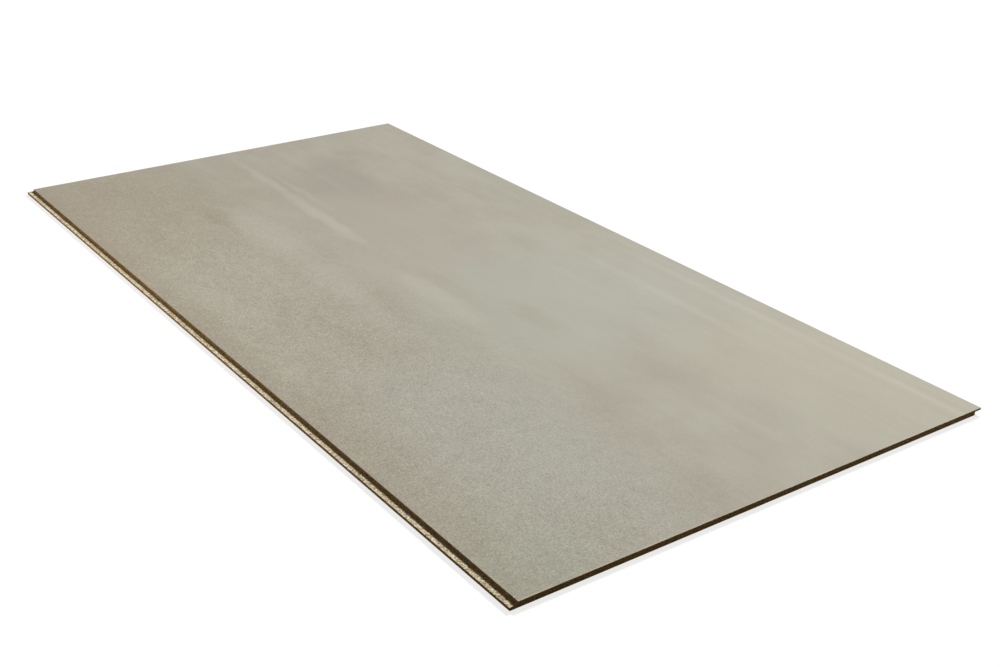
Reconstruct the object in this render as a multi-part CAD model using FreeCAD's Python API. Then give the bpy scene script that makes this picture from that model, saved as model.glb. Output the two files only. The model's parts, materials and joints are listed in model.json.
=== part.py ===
import FreeCAD, Part
import os

# Particle board: one pressed and sanded sheet of wood chips, sawn square at both ends and
# milled to a half lap along both long edges, so that sheets laid side by side overlap.
#
# Millimetres. +X runs across the sheet, +Y along it and +Z up through its thickness. The
# origin is in the middle of the underside, under the centre of the outline.
#
#            step_x                                                lip_x
#              |___________________ top face ________________________|
#    ___flange_|                                             ________| lip
#   |                                                       |
#   |_______________________________________________________|
# flange_x                                              shoulder_x

# ---- driving dimensions -------------------------------------------------------------------
face_width = 1200.0        # top face, which is the width that one laid sheet covers
length = 2400.0
thickness = 12.0
lap_width = 18.0           # how far the flange reaches out past the top face
flange_thickness = 7.0     # lower half of the lap, level with the underside
lap_clearance = 0.4        # gap left between a flange and the lip that covers it
lap_play = 0.5             # gap left in front of a flange when the top faces meet
arris_break = 0.4          # sanded edge round the top face
lead_in = 0.5              # bevel of the two lower long edges, to start the lap

# ---- places worked out from them ----------------------------------------------------------
overall_width = face_width + lap_width
lip_thickness = thickness - flange_thickness - lap_clearance
lip_overhang = lap_width + lap_play
flange_x = -overall_width / 2
step_x = flange_x + lap_width
lip_x = overall_width / 2
shoulder_x = lip_x - lip_overhang
lip_underside = thickness - lip_thickness
SAME_PLACE = 1e-6          # how close two coordinates are when they mean one place


def lap_section():
    """The sheet's cross-section, as a face standing on the sheet's front end."""
    outline = [
        (flange_x, lead_in),
        (flange_x + lead_in, 0.0),
        (shoulder_x - lead_in, 0.0),
        (shoulder_x, lead_in),
        (shoulder_x, lip_underside),
        (lip_x, lip_underside),
        (lip_x, thickness),
        (step_x, thickness),
        (step_x, flange_thickness),
        (flange_x, flange_thickness),
    ]
    corners = [FreeCAD.Vector(x, -length / 2, z) for x, z in outline]
    return Part.Face(Part.makePolygon(corners + corners[:1]))


def top_face_edges(sheet):
    """The four edges that lie wholly in the plane of the top face."""
    return [
        edge
        for edge in sheet.Edges
        if all(abs(vertex.Z - thickness) < SAME_PLACE for vertex in edge.Vertexes)
    ]


def particle_board():
    """The whole sheet: its section carried from end to end, with the top edges broken."""
    sheet = lap_section().extrude(FreeCAD.Vector(0, length, 0))
    return sheet.makeChamfer(arris_break, top_face_edges(sheet))


def write_part(name, shape):
    """Writes one node, and prints its size and volume."""
    box = shape.BoundBox
    print(f"{name}: {box.XLength:.1f} x {box.YLength:.1f} x {box.ZLength:.1f} mm,"
          f" {shape.Volume / 1e9:.5f} m3, valid {shape.isValid()}, solids {len(shape.Solids)}")
    shape.exportStep(os.path.join("parts", name + ".step"))


os.makedirs("parts", exist_ok=True)
write_part("particle_board", particle_board())
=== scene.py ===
# %% [markdown]
# # A lapped sheet of particle board
#
# Particle board is wood that was cut into small chips, mixed with resin and pressed hot into a
# sheet. Coarse chips make its middle and fine dust makes its two faces. This sheet has a sanded
# top, saw-cut ends, and a half lap milled along both long edges: a flange at the bottom of one
# edge and a lip at the top of the other, so that the next sheet overlaps it.
#
# The lesson builds one mesh with a rough, chipped skin on the cut edges, and three materials:
# one for the sanded face, one for milled chips that lie flat, and one for chips cut across.

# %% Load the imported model
import json
import math

import bmesh
import bpy
import numpy as np
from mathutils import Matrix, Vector
from mathutils.geometry import delaunay_2d_cdt


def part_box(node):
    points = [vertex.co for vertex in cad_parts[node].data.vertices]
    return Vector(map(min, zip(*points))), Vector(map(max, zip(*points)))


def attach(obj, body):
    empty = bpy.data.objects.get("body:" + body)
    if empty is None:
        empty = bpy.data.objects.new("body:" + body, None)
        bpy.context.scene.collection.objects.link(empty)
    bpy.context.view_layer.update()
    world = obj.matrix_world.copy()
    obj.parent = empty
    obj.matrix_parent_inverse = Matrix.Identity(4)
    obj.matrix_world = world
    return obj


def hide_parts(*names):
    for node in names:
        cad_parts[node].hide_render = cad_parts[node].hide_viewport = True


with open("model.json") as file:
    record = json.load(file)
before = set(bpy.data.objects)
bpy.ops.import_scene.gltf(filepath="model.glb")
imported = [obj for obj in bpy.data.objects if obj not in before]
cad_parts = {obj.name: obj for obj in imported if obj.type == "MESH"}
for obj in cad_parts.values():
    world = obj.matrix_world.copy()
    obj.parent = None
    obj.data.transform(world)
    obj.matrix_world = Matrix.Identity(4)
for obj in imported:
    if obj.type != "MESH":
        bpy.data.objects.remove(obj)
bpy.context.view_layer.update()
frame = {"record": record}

# %% [markdown]
# ## The sheet's own sizes
#
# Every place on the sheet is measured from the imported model: the box of its node gives the
# outline, and the record's mounts give the heights and edges of the two laps. Typing the sizes
# again would let the visible sheet drift from the solid. Only the two small bevels have no
# mount, so they are named here.

# %% Measure the sheet
MM = 0.001

low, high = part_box("particle_board")
mounts = {mount["name"]: mount["pos_m"] for mount in frame["record"]["mounts"]}

flange_x, lip_x = low[0], high[0]
front_y, back_y = low[1], high[1]
top_z = high[2]
step_x = mounts["step_butt"][0]
flange_z = mounts["flange_seat"][2]
lip_z = mounts["lip_seat"][2]
shoulder_x = 2 * mounts["lip_seat"][0] - lip_x
ARRIS = 0.4 * MM        # sanded edge round the top face
LEAD_IN = 0.5 * MM      # bevel of the two lower long edges

print("top face", round(lip_x - step_x, 4), "x", round(back_y - front_y, 4), "m")
print("flange", round(step_x - flange_x, 4), "m out,", round(flange_z, 4), "m thick")
print("lip", round(lip_x - shoulder_x, 4), "m out,", round(top_z - lip_z, 4), "m thick")

# %% [markdown]
# ## Two small helpers
#
# A colour is written as it is seen, as an sRGB hex number, but Blender adds up light in linear
# values, so one function turns the first into the second. The other function adds a node with
# its settings and its links. Node trees for shape and for colour are both built with it.

# %% Helpers for colours and nodes
def linear(hex_colour):
    """An sRGB colour such as 0xB0AA9D as linear red, green, blue and alpha."""
    parts = [(hex_colour >> shift & 255) / 255 for shift in (16, 8, 0)]
    return [p / 12.92 if p <= 0.04045 else ((p + 0.055) / 1.055) ** 2.4 for p in parts] + [1.0]


def add(tree, kind, inputs=None, stops=(), **settings):
    """Adds a node.

    inputs maps a socket's name or number to a value, to another socket, or to a node, which
    stands for its first output. stops are the places and sRGB colours of a colour ramp.
    """
    node = tree.nodes.new(kind)
    for name, value in settings.items():
        setattr(node, name, value)
    for key, value in (inputs or {}).items():
        if isinstance(value, bpy.types.Node):
            value = value.outputs[0]
        if isinstance(value, bpy.types.NodeSocket):
            tree.links.new(value, node.inputs[key])
        else:
            node.inputs[key].default_value = value
    for number, (at, colour) in enumerate(stops):
        elements = node.color_ramp.elements
        stop = elements[number] if number < 2 else elements.new(at)
        stop.position, stop.color = at, linear(colour)
    return node


print("0x808080 is", round(linear(0x808080)[0], 3), "in linear light")

# %% [markdown]
# ## Where the skin is cut from
#
# A smooth solid has a few dozen faces, which is too few to be rough. The cut edges are covered
# with a fine grid, with about two cells to the width of a core chip, while the flat faces need
# almost nothing. Strips of quads run along the two long edges. The flat regions, which are the
# faces and the two ends, are filled by a Delaunay triangulation, which joins a finely divided
# rim to a few points in the middle.

# %% Divide the sheet's long sides
CELL = 1.6 * MM
SAME_PLACE = 0.01 * MM      # how close two points are when they mean one place


def divided(start, end, step):
    """Evenly spaced values from start to end, about one step apart."""
    count = max(1, round(abs(end - start) / step))
    return np.linspace(start, end, count + 1)


along = divided(front_y, back_y, CELL)
across = divided(step_x, lip_x, CELL)
under = divided(flange_x + LEAD_IN, shoulder_x - LEAD_IN, CELL)
print("divisions along", len(along), "across the top", len(across), "and underneath", len(under))


# %% Follow the section round the two laps
def divided_path(corners, step):
    """A path through corners, with points about one step apart on its runs."""
    points = [np.array(corners[0])]
    for a, b in zip(np.array(corners[:-1]), np.array(corners[1:])):
        run = divided(0, 1, step / np.linalg.norm(b - a))[1:]
        points += [a + (b - a) * t for t in run]
    return np.array(points)


flange_side = divided_path([
    (step_x, top_z - ARRIS),
    (step_x, flange_z),
    (flange_x, flange_z),
    (flange_x, LEAD_IN),
    (flange_x + LEAD_IN, 0.0),
], CELL)
lip_side = divided_path([
    (shoulder_x - LEAD_IN, 0.0),
    (shoulder_x, LEAD_IN),
    (shoulder_x, lip_z),
    (lip_x, lip_z),
    (lip_x, top_z - ARRIS),
], CELL)
print("points round the flange", len(flange_side), "and round the lip", len(lip_side))

# %% Collect the strips of quads along the long edges
points, faces = [], []


def take(new_points, new_faces):
    """Adds points and the faces that join them to the shell."""
    start = len(points)
    points.extend(map(tuple, new_points))
    faces.extend([start + i for i in face] for face in new_faces)


def take_grid(rows):
    """Adds a strip of quads through rows that all have as many points."""
    width = len(rows[0])
    quads = [
        (r * width + i, r * width + i + 1, (r + 1) * width + i + 1, (r + 1) * width + i)
        for r in range(len(rows) - 1)
        for i in range(width - 1)
    ]
    take([p for row in rows for p in row], quads)


for side in (flange_side, lip_side):
    take_grid([[(x, y, z) for x, z in side] for y in along])
print("strips along the laps:", len(faces), "quads")


# %% Add the sanded edge round the top face
def rectangle(xs, ys, z):
    """A closed loop round a rectangle, through the given divisions of its sides."""
    loop = [(x, ys[0], z) for x in xs[:-1]] + [(xs[-1], y, z) for y in ys[:-1]]
    loop += [(x, ys[-1], z) for x in xs[:0:-1]] + [(xs[0], y, z) for y in ys[:0:-1]]
    return loop


def drawn_in(values, inset):
    """The same divisions over a length that is shorter by inset at each end."""
    middle = (values[0] + values[-1]) / 2
    return middle + (values - middle) * (1 - 2 * inset / (values[-1] - values[0]))


arris_low = rectangle(across, along, top_z - ARRIS)
arris_high = rectangle(drawn_in(across, ARRIS), drawn_in(along, ARRIS), top_z)
take_grid([arris_low + arris_low[:1], arris_high + arris_high[:1]])
print("with the edge round the top:", len(faces), "quads")

# %% [markdown]
# ## Filling the flat regions
#
# The same fill serves the top, the underside and both ends. It takes the rim, and points inside
# it. On the two faces those are rings that get coarser away from the rim. On the ends they are
# rows as fine as the rest of the cut surface, because the saw leaves chips there.

# %% Fill the two faces
RINGS = ((4 * MM, 5 * MM), (14 * MM, 16 * MM), (45 * MM, 50 * MM))     # inset and spacing
WIDE_STEP = 120 * MM                                                   # spacing further in
NO_CLOSER = 1e-7                                                       # metres, in a fill


def fill(rim, inner, place):
    """Triangles over a flat region. place turns a flat point into a point in space."""
    flat = [Vector(p) for p in list(rim) + list(inner)]
    edges = [(i, (i + 1) % len(rim)) for i in range(len(rim))]
    found, _, triangles, *_ = delaunay_2d_cdt(flat, edges, [], 1, NO_CLOSER)
    take([place(*p) for p in found], triangles)


def rings(x0, x1, y0, y1):
    """Points inside a rectangle: rings near its rim, then a wide grid."""
    inner = []
    for inset, step in RINGS:
        xs = divided(x0 + inset, x1 - inset, step)
        ys = divided(y0 + inset, y1 - inset, step)
        inner += [p[:2] for p in rectangle(xs, ys, 0.0)]
    inner += [
        (x, y)
        for x in divided(x0 + WIDE_STEP, x1 - WIDE_STEP, WIDE_STEP)
        for y in divided(y0 + WIDE_STEP, y1 - WIDE_STEP, WIDE_STEP)
    ]
    return inner


top_rim = [p[:2] for p in arris_high]
top_start = top_rim[0][0]
top_end = -top_start + step_x + lip_x
fill(top_rim, rings(top_start, top_end, front_y, back_y), lambda x, y: (x, y, top_z))
under_rim = [p[:2] for p in rectangle(under, along, 0.0)]
fill(under_rim, rings(under[0], under[-1], front_y, back_y), lambda x, y: (x, y, 0.0))
print("with both faces:", len(faces), "faces")


# %% Fill the two ends
def end_points():
    """Points inside the sheet's cross-section, in rows one cell apart."""
    clear = 0.6 * CELL      # keeps them off the rim, or slivers would form
    inner = []
    for row, z in enumerate(divided(0.0, top_z - ARRIS, CELL)[1:-1]):
        shift = (row % 2) * CELL / 2
        for x in np.arange(flange_x + clear + shift, lip_x - clear, CELL):
            over = flange_z - clear if x < step_x + clear else top_z
            below = lip_z + clear if x > shoulder_x - clear else 0.0
            if below < z < over and flange_x + 2 * LEAD_IN - z < x:
                inner.append((x, z))
    return inner


section_rim = [tuple(p) for p in flange_side]
section_rim += [(x, 0.0) for x in under[1:-1]]
section_rim += [tuple(p) for p in lip_side]
section_rim += [(x, top_z - ARRIS) for x in across[-2:0:-1]]
for y in (front_y, back_y):
    fill(section_rim, end_points(), lambda x, z, y=y: (x, y, z))
print("with both ends:", len(faces), "faces, not joined yet")


# %% Join the regions into one closed mesh
def closed_mesh(name):
    """The collected points and faces as one mesh with its shared rims joined."""
    mesh = bpy.data.meshes.new(name)
    mesh.from_pydata(points, [], faces)
    shell = bmesh.new()
    shell.from_mesh(mesh)
    bmesh.ops.remove_doubles(shell, verts=shell.verts, dist=SAME_PLACE)
    bmesh.ops.recalc_face_normals(shell, faces=shell.faces)
    open_edges = [edge for edge in shell.edges if len(edge.link_faces) != 2]
    print(name, len(shell.verts), "points", len(shell.faces), "faces, open edges", len(open_edges))
    shell.to_mesh(mesh)
    shell.free()
    return mesh


board_mesh = closed_mesh("particle_board_sheet")
board = bpy.data.objects.new("particle_board_sheet", board_mesh)
bpy.context.scene.collection.objects.link(board)

# %% [markdown]
# ## What each point does when the surface is roughened
#
# Cutters tear chips out, so a cut surface is never above the line of the cut, only below it.
# Each point is told which way is into the board, and how rough its surface is. Milled
# laps are the roughest, sawn ends less so, and the edge round the sanded top only has a nick
# here and there. The faces themselves are sanded flat, so their points don't move at all.

# %% Sort the points by where they lie
places = np.empty(len(board_mesh.vertices) * 3)
board_mesh.vertices.foreach_get("co", places)
places = places.reshape(-1, 3)
x, y, z = places.T


def near(values, target):
    """Which values lie on the target."""
    return np.abs(values - target) < SAME_PLACE


top_edge = z > top_z - ARRIS - SAME_PLACE
rim_inset = ARRIS + SAME_PLACE
step_rim = top_edge & (x < step_x + rim_inset)
lip_rim = top_edge & (x > lip_x - rim_inset)
front_rim = top_edge & (y < front_y + rim_inset)
back_rim = top_edge & (y > back_y - rim_inset)
end_face = ~top_edge & (z > SAME_PLACE)
print("points on the edge round the top:", int(top_edge.sum()), "of", len(places))

# %% Give each point its way into the board, and how rough it is
MILLED_FLAT, MILLED_UPRIGHT, SAWN_END, SANDED_RIM = 1.0, 0.7, 0.5, 0.35     # shares of the depth
CUTS = (
    (near(z, flange_z) & (x < step_x + SAME_PLACE), (0, 0, -1), MILLED_FLAT),
    (near(z, lip_z) & (x > shoulder_x - SAME_PLACE), (0, 0, 1), MILLED_FLAT),
    (near(x, step_x) & (z > flange_z - SAME_PLACE) & ~top_edge, (1, 0, 0), MILLED_UPRIGHT),
    (near(x, shoulder_x) & (z < lip_z + SAME_PLACE), (-1, 0, 0), MILLED_UPRIGHT),
    (near(x, flange_x), (1, 0, 0), MILLED_UPRIGHT),
    (near(x, lip_x) & ~top_edge, (-1, 0, 0), MILLED_UPRIGHT),
    (near(y, front_y) & end_face, (0, 1, 0), SAWN_END),
    (near(y, back_y) & end_face, (0, -1, 0), SAWN_END),
    (step_rim, (1, 0, 0), SANDED_RIM),
    (lip_rim, (-1, 0, 0), SANDED_RIM),
    (front_rim, (0, 1, 0), SANDED_RIM),
    (back_rim, (0, -1, 0), SANDED_RIM),
)
inward = np.zeros_like(places)
for chosen, way, roughness in CUTS:
    inward[chosen] += np.array(way) * roughness

# Both lines of the top edge move alike, so they read the pattern at the same place.
sampled = places.copy()
sampled[:, 0][step_rim] = step_x
sampled[:, 0][lip_rim] = lip_x
sampled[:, 1][front_rim] = front_y
sampled[:, 1][back_rim] = back_y
sampled[:, 2][top_edge] = top_z
for name, values in (("inward", inward), ("sampled", sampled)):
    layer = board_mesh.attributes.new(name, "FLOAT_VECTOR", "POINT")
    layer.data.foreach_set("vector", values.ravel())
print("points that will be roughened:", int((np.abs(inward).sum(1) > 0).sum()))

# %% Mark which finish each face has
SANDED, MILLED, UPRIGHT_SHADED_FINISH = 0, 1, 2
LEVEL = 0.95        # a face whose normal is this upright lies level
centres = np.empty(len(board_mesh.polygons) * 3)
normals = np.empty(len(board_mesh.polygons) * 3)
board_mesh.polygons.foreach_get("center", centres)
board_mesh.polygons.foreach_get("normal", normals)
centres, normals = centres.reshape(-1, 3), normals.reshape(-1, 3)
# Upright faces get the darker, browner copy of the raw core: partly the raw edge's colour, partly
# painted shade.
finish = np.full(len(centres), UPRIGHT_SHADED_FINISH)
finish[np.abs(normals[:, 2]) > LEVEL] = MILLED
finish[(centres[:, 2] > top_z - ARRIS) | (centres[:, 2] < SAME_PLACE)] = SANDED
layer = board_mesh.attributes.new("finish", "INT", "FACE")
layer.data.foreach_set("value", finish)
print("faces sanded, milled and sawn:", [int((finish == kind).sum()) for kind in range(3)])

# %% [markdown]
# ## One pattern of chips, for shape and for colour
#
# Core chips are slivers that lie flat in the sheet, pointing every way. A Voronoi texture fills
# space with cells, and stretching it makes each cell a sliver. Three such layers, turned against
# each other, cross like real chips do: at each point the layer that stands highest is the one
# that is seen. The same nodes are used twice, by the geometry, to sink the gaps, and by the
# colours, to darken them, so the dark gaps lie where the mesh is low. Because the slivers are
# thin in height, a level cut shows them whole and an upright cut shows only their edges.

# %% The chip pattern
CHIP_TURNS = (20, 80, 140)          # degrees, the way each layer of slivers points
CORE_CHIP = (9.0, 3.0, 1.1)         # millimetres long, wide and thick
FACE_FLAKE = (4.2, 1.9, 1.7)        # about twice as coarse as the real flakes, to show at all
SEED_STEP = (97.0, 61.0, 13.0)      # millimetres the pattern moves for each step of its seed
LAYER_STEP = (7.3, 0.0, 3.1)        # chips, how far each layer is moved from the last
CHIP_SEED = 11.0


def chips(tree, place_mm, size, seed):
    """Crossed chips: how high the surface stands at a place, and the tone of the chip there.

    seed is a number written three times, or a socket that holds it.
    """
    moved = add(tree, "ShaderNodeVectorMath", {0: seed, 1: SEED_STEP, 2: place_mm},
                operation="MULTIPLY_ADD")
    height = tone = None
    for number, turn in enumerate(CHIP_TURNS):
        turned = add(tree, "ShaderNodeVectorRotate", {
            "Vector": moved, "Angle": math.radians(turn)}, rotation_type="Z_AXIS")
        stretched = add(tree, "ShaderNodeVectorMath", {
            0: turned,
            1: [1 / side for side in size],
            2: [side * number for side in LAYER_STEP],
        }, operation="MULTIPLY_ADD")
        cells = add(tree, "ShaderNodeTexVoronoi", {"Vector": stretched, "Scale": 1.0})
        own = add(tree, "ShaderNodeSeparateXYZ", {0: cells.outputs["Color"]})
        # Each chip's middle stands 0.55 to 1.1 high, and its surface falls away towards its edge.
        raised = add(tree, "ShaderNodeMath", {0: own, 1: 0.55, 2: 0.55}, operation="MULTIPLY_ADD")
        stands = add(tree, "ShaderNodeMath", {
            0: cells.outputs["Distance"], 1: -0.75, 2: raised}, operation="MULTIPLY_ADD")
        if number == 0:
            height, tone = stands, own.outputs[1]
            continue
        wins = add(tree, "ShaderNodeMath", {0: stands, 1: height}, operation="GREATER_THAN")
        tone = add(tree, "ShaderNodeMix", {0: wins, 2: tone, 3: own.outputs[1]})
        height = add(tree, "ShaderNodeMath", {0: stands, 1: height}, operation="MAXIMUM")
    return height, tone


print("core chips", CORE_CHIP, "mm, in", len(CHIP_TURNS), "crossed layers")

# %% [markdown]
# ## Roughening the cut edges
#
# A Geometry Nodes tree moves each point into the board by as much as the chip pattern is low
# there. Its two sizes are the depth of a gap between chips, and a seed for another sheet with
# other chips. Sculpting would give one sheet only, and a Displace modifier can't follow
# a direction of its own at each point.

# %% Build the tree that tears the chips
FULL_HEIGHT, GAP_HEIGHT = 1.0, 0.15     # where the pattern means no gap, and the deepest gap
GAP_DEPTH = 0.9 * MM


def torn_chips(finishes):
    """A tree that roughens a sheet's cut edges and gives each face its material."""
    tree = bpy.data.node_groups.new("torn_chips", "GeometryNodeTree")
    tree.interface.new_socket("Sheet", in_out="INPUT", socket_type="NodeSocketGeometry")
    tree.interface.new_socket("Gap depth", in_out="INPUT", socket_type="NodeSocketFloat")
    tree.interface.new_socket("Seed", in_out="INPUT", socket_type="NodeSocketFloat")
    tree.interface.new_socket("Sheet", in_out="OUTPUT", socket_type="NodeSocketGeometry")
    given = add(tree, "NodeGroupInput").outputs
    sampled = add(tree, "GeometryNodeInputNamedAttribute", {"Name": "sampled"},
                  data_type="FLOAT_VECTOR")
    inward = add(tree, "GeometryNodeInputNamedAttribute", {"Name": "inward"},
                 data_type="FLOAT_VECTOR")
    in_mm = add(tree, "ShaderNodeVectorMath", {0: sampled, "Scale": 1 / MM}, operation="SCALE")
    height, _ = chips(tree, in_mm, CORE_CHIP, given["Seed"])
    sunk = add(tree, "ShaderNodeMapRange", {
        "Value": height,
        "From Min": FULL_HEIGHT,
        "From Max": GAP_HEIGHT,
        "To Min": 0.0,
        "To Max": given["Gap depth"],
    })
    move = add(tree, "ShaderNodeVectorMath", {0: inward, "Scale": sunk}, operation="SCALE")
    sheet = add(tree, "GeometryNodeSetPosition", {"Geometry": given["Sheet"], "Offset": move})
    sheet = add(tree, "GeometryNodeRealizeInstances", {0: sheet})
    finish = add(tree, "GeometryNodeInputNamedAttribute", {"Name": "finish"}, data_type="INT")
    for number, material in enumerate(finishes):
        same = add(tree, "FunctionNodeCompare", {2: finish, 3: number},
                   data_type="INT", operation="EQUAL")
        sheet = add(tree, "GeometryNodeSetMaterial", {
            "Geometry": sheet, "Selection": same, "Material": material})
    add(tree, "NodeGroupOutput", {0: sheet})
    return tree


print("gaps are up to", round(GAP_DEPTH / MM, 2), "mm deep")

# %% [markdown]
# ## The sanded face
#
# The face is fine wood dust and resin, pressed hard and sanded on a wide belt. It is a dull
# grey beige, nearly matt, with a low sheen at a flat angle. Four things keep it from being one
# plain colour: cloudy patches where resin and moisture differ, long lines where the belt ran,
# flecks of single flakes, and a warmer band along the flange. The clouds and lines have places
# of their own, and noise breaks up their outlines. All sizes are millimetres on the sheet. The
# flakes are drawn about twice as coarse as real ones, or they wouldn't show at all.

# %% Helpers for the materials
def new_material(name, roughness, specular):
    """A plain material. Returns it, its tree, its shader and places in millimetres."""
    material = bpy.data.materials.new(name)
    material.use_nodes = True
    tree = material.node_tree
    shader = tree.nodes["Principled BSDF"]
    shader.inputs["Roughness"].default_value = roughness
    shader.inputs["Specular IOR Level"].default_value = specular
    place = add(tree, "ShaderNodeTexCoord").outputs["Object"]
    in_mm = add(tree, "ShaderNodeVectorMath", {0: place, "Scale": 1 / MM}, operation="SCALE")
    return material, tree, shader, in_mm


def patches(tree, place_mm, size_mm, low=0.0, high=1.0, detail=2.0, shift=0.0):
    """Uneven patches of a size along X, Y and Z: 0 where a noise is low, 1 where it is high."""
    stretched = add(tree, "ShaderNodeVectorMath", {
        0: place_mm,
        1: [1 / size for size in size_mm],
        2: (shift, shift * 0.7, shift * 0.3),
    }, operation="MULTIPLY_ADD")
    noise = add(tree, "ShaderNodeTexNoise", {
        "Vector": stretched, "Scale": 1.0, "Detail": detail, "Roughness": 0.55})
    return add(tree, "ShaderNodeMapRange", {0: noise, 1: low, 2: high})


def lay_over(tree, colour, tints):
    """Lays tints over a colour, one after another, each by its own amount."""
    for amount, tint in tints:
        colour = add(tree, "ShaderNodeMix", {0: amount, 6: colour, 7: linear(tint)},
                     data_type="RGBA").outputs[2]
    return colour


print("helpers:", new_material.__name__, patches.__name__, lay_over.__name__)

# %% Clouds of the face
# Soft patches: middle X and Y, half width and half length in millimetres, colour and amount.
# Broad clouds come first, then narrow streaks and smudges.
CLOUDS = (
    (-440, 950, 330, 480, 0x9A8F7D, 0.60),
    (-290, -760, 230, 520, 0xABACA4, 0.60),
    (-520, -1130, 190, 230, 0x9FA293, 0.60),
    (190, -230, 420, 420, 0xA9AC9F, 0.55),
    (470, -930, 260, 420, 0xADA892, 0.55),
    (150, 480, 170, 480, 0xA59C92, 0.42),
    (-50, 350, 330, 500, 0xA9A297, 0.40),
    (560, 350, 110, 300, 0x99998A, 0.35),
    (205, 800, 112, 230, 0x948A80, 0.50),
    (-245, 700, 50, 90, 0x8F8672, 0.40),
    (-185, 480, 60, 240, 0xB9B4A8, 0.38),
    (-190, 110, 56, 180, 0xB6B1A6, 0.34),
    (-150, -60, 40, 150, 0x9A9182, 0.30),
    (100, -320, 40, 110, 0x97917F, 0.28),
    (32, -60, 34, 150, 0xA19686, 0.30),
    (10, 900, 20, 240, 0xBDB6AB, 0.34),
    (-2, 510, 26, 240, 0xC0BAAF, 0.42),
    (-30, -110, 40, 260, 0xBAB7AB, 0.36),
    (50, 740, 12, 200, 0xBDB6AB, 0.18),
)
# Size of a bend in a cloud's outline, and how far the bend reaches, in millimetres.
WIDE_BENDS, NARROW_BENDS = (260, (260, 420, 0)), (60, (30, 150, 0))
NARROW_CLOUD = 60                       # half width up to which a cloud has narrow bends
CLOUD_RIM, CLOUD_HEART = 1.25, 0.35     # where cover starts and is full, in half widths


def clouds(tree, place):
    """The amount and tint of each cloud. Outlines bend widely on wide clouds, finely on others."""
    bent = {}
    for size, reach in (WIDE_BENDS, NARROW_BENDS):
        noise = add(tree, "ShaderNodeTexNoise", {"Vector": place, "Scale": 1 / size, "Detail": 2.0})
        bent[reach] = add(tree, "ShaderNodeVectorMath", {
            0: noise.outputs["Color"], 1: reach, 2: place}, operation="MULTIPLY_ADD")
    tints = []
    for x_mm, y_mm, half_x, half_y, tint, amount in CLOUDS:
        reach = (WIDE_BENDS if half_x > NARROW_CLOUD else NARROW_BENDS)[1]
        middle = (x_mm + reach[0] / 2, y_mm + reach[1] / 2, 0)
        off = add(tree, "ShaderNodeVectorMath", {0: bent[reach], 1: middle}, operation="SUBTRACT")
        scaled = add(tree, "ShaderNodeVectorMath", {
            0: off, 1: (1 / half_x, 1 / half_y, 0)}, operation="MULTIPLY")
        away = add(tree, "ShaderNodeVectorMath", {0: scaled}, operation="LENGTH").outputs["Value"]
        cover = add(tree, "ShaderNodeMapRange", {
            0: away, 1: CLOUD_RIM, 2: CLOUD_HEART, 4: amount}, interpolation_type="SMOOTHSTEP")
        tints.append((cover, tint))
    return tints


print(len(CLOUDS), "clouds,", sum(row[2] <= NARROW_CLOUD for row in CLOUDS), "of them narrow")

# %% Belt lines of the face
# Places across the top face in millimetres from the step, and how pale the face is there.
BELT_LINES = (
    (0, 0.0), (620, 0.0), (640, 0.5), (655, 0.1), (735, 0.1), (752, 0.8), (770, 0.1),
    (895, 0.1), (912, 0.5), (930, 0.1), (1015, 0.1), (1032, 0.9), (1048, 0.1), (1125, 0.1),
    (1142, 0.8), (1160, 0.0),
)
FACE_WIDTH_MM = (lip_x - step_x) / MM
FINE_LINES = 0.35       # how pale the finest lines are, beside the ones in the table
BELT_PALENESS = 0.07    # how much of the pale tint a full line takes
BELT_SHINE = -0.05      # what a full line adds to the roughness


def belt_lines(tree, place, across_mm):
    """How pale the sanding belt left the face: narrow lines that fade in and out."""
    share = add(tree, "ShaderNodeMath", {0: across_mm, 1: FACE_WIDTH_MM}, operation="DIVIDE")
    lines = add(tree, "ShaderNodeValToRGB", {0: share}, stops=[
        (at / FACE_WIDTH_MM, 0x010101 * round(255 * pale)) for at, pale in BELT_LINES])
    fade = patches(tree, place, (90, 620, 400), 0.38, 0.60, detail=1.0, shift=3.0)
    fine = patches(tree, place, (16, 2600, 400), 0.35, 0.70, detail=3.0, shift=9.0)
    faint = add(tree, "ShaderNodeMath", {0: fine, 1: FINE_LINES}, operation="MULTIPLY")
    return add(tree, "ShaderNodeMath", {0: lines, 1: fade, 2: faint}, operation="MULTIPLY_ADD")


print("stops of the belt lines:", len(BELT_LINES), "over", round(FACE_WIDTH_MM), "mm")

# %% Flecks of the face
FLECK_AMOUNT = 0.45
COARSE_FROM_STEP, COARSE_Y = 150, -700      # middle of the coarse part of the face
COARSE_REACH = (430, 2900)                  # and how far it goes across and along
COARSE_HEART, COARSE_RIM = 0.30, 1.20       # where it is full and where it ends, in reaches
FINE_PART = 0.12                            # how coarse the rest of the face is
DUST = (3.2, 3.2, 3.2)                      # far coarser than real dust, which wouldn't show
CLUMP = (20, 26, 20)
DUST_SHARE, CLUMP_SHARE = 0.62, 0.10
# Where a fleck starts to show and is full, and its tint: pale flakes, then dark ones.
FLECK_TINTS = ((0.52, 0.76, 0xD2CBB9), (0.48, 0.24, 0x756C5C))


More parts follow.
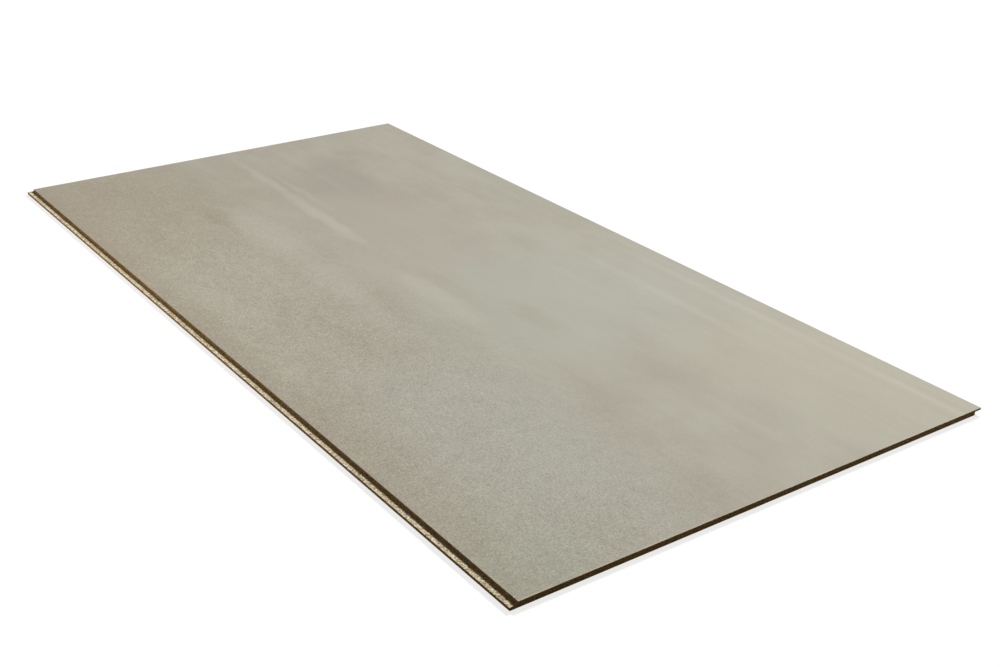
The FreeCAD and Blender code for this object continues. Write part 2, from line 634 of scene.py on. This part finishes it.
def flecks(tree, place):
    """Pale and dark flakes among dust, strong along the step and faint across the sheet.

    Returns how coarse the face is, how high each fleck stands, and the flecks' tints.
    """
    off = add(tree, "ShaderNodeVectorMath", {
        0: place, 1: (step_x / MM + COARSE_FROM_STEP, COARSE_Y, 0)}, operation="SUBTRACT")
    scaled = add(tree, "ShaderNodeVectorMath", {
        0: off, 1: (1 / COARSE_REACH[0], 1 / COARSE_REACH[1], 0)}, operation="MULTIPLY")
    away = add(tree, "ShaderNodeVectorMath", {0: scaled}, operation="LENGTH").outputs["Value"]
    coarse = add(tree, "ShaderNodeMapRange", {
        0: away, 1: COARSE_HEART, 2: COARSE_RIM, 3: 1.0, 4: FINE_PART},
        interpolation_type="SMOOTHSTEP")
    _, flake = chips(tree, place, FACE_FLAKE, (3.0, 3.0, 3.0))
    dust = patches(tree, place, DUST, 0.15, 0.85, detail=3.0, shift=2.0)
    mixed = add(tree, "ShaderNodeMix", {0: DUST_SHARE, 2: flake, 3: dust})
    clumps = patches(tree, place, CLUMP, 0.30, 0.70, detail=3.0, shift=6.0)
    mixed = add(tree, "ShaderNodeMix", {0: CLUMP_SHARE, 2: mixed, 3: clumps})
    tints = []
    for start, end, tint in FLECK_TINTS:
        shown = add(tree, "ShaderNodeMapRange", {0: mixed, 1: start, 2: end, 4: FLECK_AMOUNT})
        shown = add(tree, "ShaderNodeMath", {0: shown, 1: coarse}, operation="MULTIPLY")
        tints.append((shown, tint))
    stands = add(tree, "ShaderNodeMath", {0: mixed, 1: coarse}, operation="MULTIPLY")
    return coarse, stands, tints


print("dust drawn", DUST[0], "mm wide, flakes", FACE_FLAKE[0], "mm long")

# %% The sanded face
FACE_TONES = ((0.0, 0x9F998A), (1.0, 0xA9A698))
FACE_ROUGHNESS = 0.76, 0.84         # where the face is fine, and where it is coarse
EDGE_BAND = 90, 8                   # millimetres from the step, where it starts and is full
EDGE_BAND_Y = -1000, 200            # between these it grows from faint to full
EDGE_BAND_AMOUNT = 0.25, 0.65
END_WEAR_AND_HIGHLIGHT = 5, 2.5                   # pale band near a sawn end, partly edge wear and partly a painted highlight of the lit arris: millimetres from the end, where it starts and is full
FACE_RELIEF = 0.12 * MM


def sanded_face():
    """Fine wood dust and resin, pressed and belt-sanded: dull, cloudy and faintly streaked."""
    material, tree, shader, place = new_material(
        "sanded_particle_face", roughness=0.8, specular=0.22)
    axes = add(tree, "ShaderNodeSeparateXYZ", {0: place}).outputs
    across_mm = add(tree, "ShaderNodeMath", {0: axes[0], 1: step_x / MM}, operation="SUBTRACT")
    warmer = add(tree, "ShaderNodeMapRange", {
        0: axes[1],
        1: EDGE_BAND_Y[0],
        2: EDGE_BAND_Y[1],
        3: EDGE_BAND_AMOUNT[0],
        4: EDGE_BAND_AMOUNT[1],
    })
    edge_band = add(tree, "ShaderNodeMapRange", {
        0: across_mm, 1: EDGE_BAND[0], 2: EDGE_BAND[1], 4: warmer},
        interpolation_type="SMOOTHSTEP")
    belt = belt_lines(tree, place, across_mm)
    pale = add(tree, "ShaderNodeMath", {0: belt, 1: BELT_PALENESS}, operation="MULTIPLY")
    coarse, stands, fleck_tints = flecks(tree, place)

    along_mm = add(tree, "ShaderNodeMath", {0: axes[1]}, operation="ABSOLUTE")
    end_mm = back_y / MM
    # A pale band by each sawn end: partly edge wear, partly a painted highlight of the arris
    # catching light.
    at_end = add(tree, "ShaderNodeMapRange", {
        0: along_mm, 1: end_mm - END_WEAR_AND_HIGHLIGHT[0], 2: end_mm - END_WEAR_AND_HIGHLIGHT[1]})
    uneven = patches(tree, place, (60, 60, 60), 0.40, 0.75, shift=8.0)
    wear_and_highlight = add(tree, "ShaderNodeMath", {0: at_end, 1: uneven}, operation="MULTIPLY")

    mottle = patches(tree, place, (120, 210, 400), 0.30, 0.70, detail=4.0, shift=4.0)
    colour = add(tree, "ShaderNodeValToRGB", {0: mottle}, stops=FACE_TONES)
    colour = lay_over(tree, colour.outputs[0], [
        *clouds(tree, place),
        (edge_band, 0x978C7B),
        (pale, 0xC9C2B6),
        *fleck_tints,
        (wear_and_highlight, 0xC4B5A1),
    ])
    tree.links.new(colour, shader.inputs["Base Color"])
    dull = add(tree, "ShaderNodeMapRange", {
        0: coarse, 3: FACE_ROUGHNESS[0], 4: FACE_ROUGHNESS[1]})
    dull = add(tree, "ShaderNodeMath", {0: belt, 1: BELT_SHINE, 2: dull}, operation="MULTIPLY_ADD")
    tree.links.new(dull.outputs[0], shader.inputs["Roughness"])
    bump = add(tree, "ShaderNodeBump", {"Height": stands, "Distance": FACE_RELIEF, "Strength": 0.6})
    tree.links.new(bump.outputs[0], shader.inputs["Normal"])
    return material


sanded = sanded_face()
print(sanded.name, "has", len(sanded.node_tree.nodes), "nodes")

# %% [markdown]
# ## The milled laps and the sawn ends
#
# Both are raw core: cream and straw chips with dark gaps between them. On the laps the cutter skims
# along the sheet, so whole chips show. The upright edges cut the chips across, in thin level
# slivers, and their copy of the material is darker and browner: partly the raw edge's own colour,
# partly painted shade for faces turned away from the lamp. On the flange, a brown band along the
# step is painted shade where the step's shadow falls. Raw chips are quite matt, so these shaders
# reflect little.

# %% The two raw core finishes
STEP_SHADOW_BROWN = 0x8E6C36         # painted shade: brown where the step's shadow falls on the flange
STEP_SHADOW_SPAN = 9.5, 6.0     # millimetres out, where it starts and is full
FIBRE_AMOUNT = 0.35             # how dark the fibres on a chip are
GAP_STARTS, GAP_FULL = 0.62, 0.30       # heights of the chip pattern
CHIP_RELIEF = 0.6 * MM
MILLED_TONES = ((0.0, 0xAC936C), (0.3, 0xCCB993), (0.6, 0xE3D6B8), (1.0, 0xF7F0DC))
# darker, browner tones for upright faces: partly the raw edge's colour, partly painted shade
UPRIGHT_SHADED_TONES = ((0.0, 0x785B2E), (0.4, 0x94743E), (0.75, 0xAA8B50), (1.0, 0xC4A96E))


def raw_core(name, chip_tones, gap_colour, gap_amount, step_shadow_amount):
    """Chips and resin laid open by a cutter, with dark gaps between the chips, and painted shade by
    the step where its shadow falls.
    """
    material, tree, shader, place = new_material(name, roughness=0.9, specular=0.15)
    height, tone = chips(tree, place, CORE_CHIP, [CHIP_SEED] * 3)
    colour = add(tree, "ShaderNodeValToRGB", {0: tone}, stops=chip_tones).outputs[0]
    fibres = patches(tree, place, (1.2, 1.2, 0.5), 0.55, 0.30, detail=3.0, shift=5.0)
    fibres = add(tree, "ShaderNodeMath", {0: fibres, 1: FIBRE_AMOUNT}, operation="MULTIPLY")
    gaps = add(tree, "ShaderNodeMapRange", {
        0: height, 1: GAP_STARTS, 2: GAP_FULL, 4: gap_amount})
    axes = add(tree, "ShaderNodeSeparateXYZ", {0: place})
    from_middle = add(tree, "ShaderNodeMath", {0: axes}, operation="ABSOLUTE")
    corner = -step_x / MM
    step_shadow = add(tree, "ShaderNodeMapRange", {
        0: from_middle,
        1: corner + STEP_SHADOW_SPAN[0],
        2: corner + STEP_SHADOW_SPAN[1],
        4: step_shadow_amount,
    }, interpolation_type="SMOOTHSTEP")
    # The brown band by the step is painted shade: the step's shadow on the flange, tinted brown.
    colour = lay_over(tree, colour, [
        (fibres, gap_colour), (gaps, gap_colour), (step_shadow, STEP_SHADOW_BROWN)])
    tree.links.new(colour, shader.inputs["Base Color"])
    bump = add(tree, "ShaderNodeBump", {"Height": height, "Distance": CHIP_RELIEF, "Strength": 0.8})
    tree.links.new(bump.outputs[0], shader.inputs["Normal"])
    return material


# Level laps get a brown band of painted shade by the step, where its shadow falls.
milled = raw_core("milled_core_chips", MILLED_TONES,
                  gap_colour=0x4A3820, gap_amount=0.75, step_shadow_amount=0.75)
# The upright copy is darker and browner, partly the raw edge's colour and partly painted shade.
upright_shaded = raw_core("upright_core_chips_shaded", UPRIGHT_SHADED_TONES,
                gap_colour=0x33240F, gap_amount=0.8, step_shadow_amount=0.0)
FINISHES = (sanded, milled, upright_shaded)
print("materials:", [material.name for material in FINISHES])

# %% Run the tree and keep its result as a plain mesh
SHARP_DEGREES = 32      # edges that turn more than this stay crisp


def roughened(piece, tree, settings):
    """Runs a tree on a piece and leaves the result as the piece's own mesh."""
    modifier = piece.modifiers.new(tree.name, "NODES")
    modifier.node_group = tree
    for item in tree.interface.items_tree:
        if item.in_out == "INPUT" and item.name in settings:
            modifier[item.identifier] = settings[item.name]
    graph = bpy.context.evaluated_depsgraph_get()
    mesh = bpy.data.meshes.new_from_object(piece.evaluated_get(graph))
    piece.modifiers.clear()
    piece.data = mesh
    for name in ("inward", "sampled", "finish"):
        mesh.attributes.remove(mesh.attributes[name])
    mesh.shade_smooth()
    mesh.set_sharp_from_angle(angle=math.radians(SHARP_DEGREES))


board.data.materials.append(FINISHES[SANDED])
roughened(board, torn_chips(FINISHES), {"Gap depth": GAP_DEPTH, "Seed": CHIP_SEED})
board.data.name = "particle_board_sheet"
board.data.calc_loop_triangles()
print("sheet:", len(board.data.loop_triangles), "triangles,",
      [slot.name for slot in board.data.materials])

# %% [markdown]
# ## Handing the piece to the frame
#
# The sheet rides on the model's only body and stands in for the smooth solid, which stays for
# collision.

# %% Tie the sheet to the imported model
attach(board, "root")
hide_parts("particle_board")
print(board.name, "stands in for particle_board, on the body root")

# %% [markdown]
# ## Floor and light
#
# The sheet lies on a plain white floor. A low lamp far behind the right-hand corner grazes the
# face, which brings out its sheen and throws the step's shadow onto the flange. A dim sky fills
# the shadows. A small low card lights the flange from the left, and a wider one the front end
# from the right. A white floor would throw so much light back that the dark edges would wash
# out, so the floor is white only where it is seen directly or in a reflection, and darker as a
# source of light. It still takes the shadow.

# %% The floor
FLOOR_PAINT = (0.27, 0.27, 0.27, 1.0)       # this much of its white comes from the lamps
FLOOR_GLOW = 0.79                           # and this much from itself
FLOOR_BOUNCE = (0.09, 0.08, 0.065, 1.0)     # what it sends back to the sheet
FLOOR_HALF = 30.0                           # metres, past anything that the camera can see
FLOOR_DROP = 0.1 * MM                       # keeps the floor out of the sheet's underside
WHITE = (1.0, 1.0, 1.0, 1.0)


def seen_directly(tree):
    """1 where a surface is seen by the camera, in a reflection or through glass."""
    rays = add(tree, "ShaderNodeLightPath").outputs
    seen = rays["Is Camera Ray"]
    for ray in ("Is Glossy Ray", "Is Transmission Ray"):
        seen = add(tree, "ShaderNodeMath", {0: seen, 1: rays[ray]}, operation="MAXIMUM")
    return seen


def studio_floor():
    """White where it is seen, with the sheet's shadow on it, and a darker bounce of light."""
    material = bpy.data.materials.new("studio_floor")
    material.use_nodes = True
    tree = material.node_tree
    tree.nodes.clear()
    paint = add(tree, "ShaderNodeBsdfDiffuse", {"Color": FLOOR_PAINT})
    glow = add(tree, "ShaderNodeEmission", {"Color": WHITE, "Strength": FLOOR_GLOW})
    white = add(tree, "ShaderNodeAddShader", {0: paint, 1: glow})
    bounce = add(tree, "ShaderNodeBsdfDiffuse", {"Color": FLOOR_BOUNCE})
    shown = add(tree, "ShaderNodeMixShader", {0: seen_directly(tree), 1: bounce, 2: white})
    add(tree, "ShaderNodeOutputMaterial", {"Surface": shown})
    return material


floor_mesh = bpy.data.meshes.new("floor")
floor_mesh.from_pydata([
    (-FLOOR_HALF, -FLOOR_HALF, -FLOOR_DROP),
    (FLOOR_HALF, -FLOOR_HALF, -FLOOR_DROP),
    (FLOOR_HALF, FLOOR_HALF, -FLOOR_DROP),
    (-FLOOR_HALF, FLOOR_HALF, -FLOOR_DROP),
], [], [(0, 1, 2, 3)])
floor_mesh.materials.append(studio_floor())
floor = bpy.data.objects.new("floor", floor_mesh)
bpy.context.scene.collection.objects.link(floor)
print("floor", 2 * FLOOR_HALF, "m wide")

# %% The lamps
KEY_AZIMUTH, KEY_ELEVATION = 33, 25.5       # degrees, the way to the lamp
KEY_LEVEL, SKY_LEVEL = 0.75, 0.10           # shares of the light on the top face
LEFT_CARD_WATTS, RIGHT_CARD_WATTS = 8.5, 9
KEY_COLOUR, CARD_COLOUR = (1.0, 0.99, 0.965), (1.0, 0.95, 0.86)
KEY_SPREAD = 8                              # degrees, softens the shadow's edge


def add_lamp(name, kind, place, target, **settings):
    """A lamp at a place, aimed at a target."""
    lamp = bpy.data.lights.new(name, kind)
    for key, value in settings.items():
        setattr(lamp, key, value)
    holder = bpy.data.objects.new(name, lamp)
    holder.location = place
    holder.rotation_euler = (Vector(target) - Vector(place)).to_track_quat("-Z", "Y").to_euler()
    bpy.context.scene.collection.objects.link(holder)


azimuth, elevation = math.radians(KEY_AZIMUTH), math.radians(KEY_ELEVATION)
to_key = Vector((
    math.cos(azimuth) * math.cos(elevation),
    math.sin(azimuth) * math.cos(elevation),
    math.sin(elevation),
))
# A sun lamp lights alike from any distance, so its place only gives the direction.
add_lamp("key", "SUN", to_key * 8, (0, 0, 0),
         energy=KEY_LEVEL * math.pi / math.sin(elevation), angle=math.radians(KEY_SPREAD),
         color=KEY_COLOUR)
add_lamp("left_card", "AREA", (-1.7, 0.5, 0.32), (-0.6, 0.4, 0), energy=LEFT_CARD_WATTS,
         shape="RECTANGLE", size=0.8, size_y=0.4, color=CARD_COLOUR)
add_lamp("right_card", "AREA", (2.2, -3.0, 0.8), (0.5, -1.2, 0), energy=RIGHT_CARD_WATTS,
         shape="RECTANGLE", size=1.5, size_y=0.8, color=CARD_COLOUR)
print("key strength", round(KEY_LEVEL * math.pi / math.sin(elevation), 2))

# %% The sky
sky = bpy.data.worlds.new("sky")
bpy.context.scene.world = sky
sky.use_nodes = True
tree = sky.node_tree
tree.nodes.clear()
dim = add(tree, "ShaderNodeBackground", {"Color": (*CARD_COLOUR, 1.0), "Strength": SKY_LEVEL})
white = add(tree, "ShaderNodeBackground", {"Color": WHITE, "Strength": 1.0})
shown = add(tree, "ShaderNodeMixShader", {0: seen_directly(tree), 1: dim, 2: white})
add(tree, "ShaderNodeOutputWorld", {"Surface": shown})
print("sky at", SKY_LEVEL, "as a light, and white where it is seen")

# %% [markdown]
# ## Camera
#
# A normal lens at chest height, 1.4 m up and off the corner where the flange and the front end
# meet, shows the whole sheet with both of its visible edges.

# %% The camera
camera_data = bpy.data.cameras.new("camera")
camera_data.sensor_width = 36.0
camera_data.lens = 50.47
camera = bpy.data.objects.new("camera", camera_data)
camera.location = (-1.7250, -2.7192, 1.4054)
camera.rotation_euler = [math.radians(angle) for angle in (64.4929, -0.7762, -35.2559)]
bpy.context.scene.collection.objects.link(camera)
bpy.context.scene.camera = camera
bpy.context.scene.view_settings.view_transform = "Standard"
print("lens", round(camera_data.lens, 1), "mm, camera", round(camera.location.z, 2), "m up")
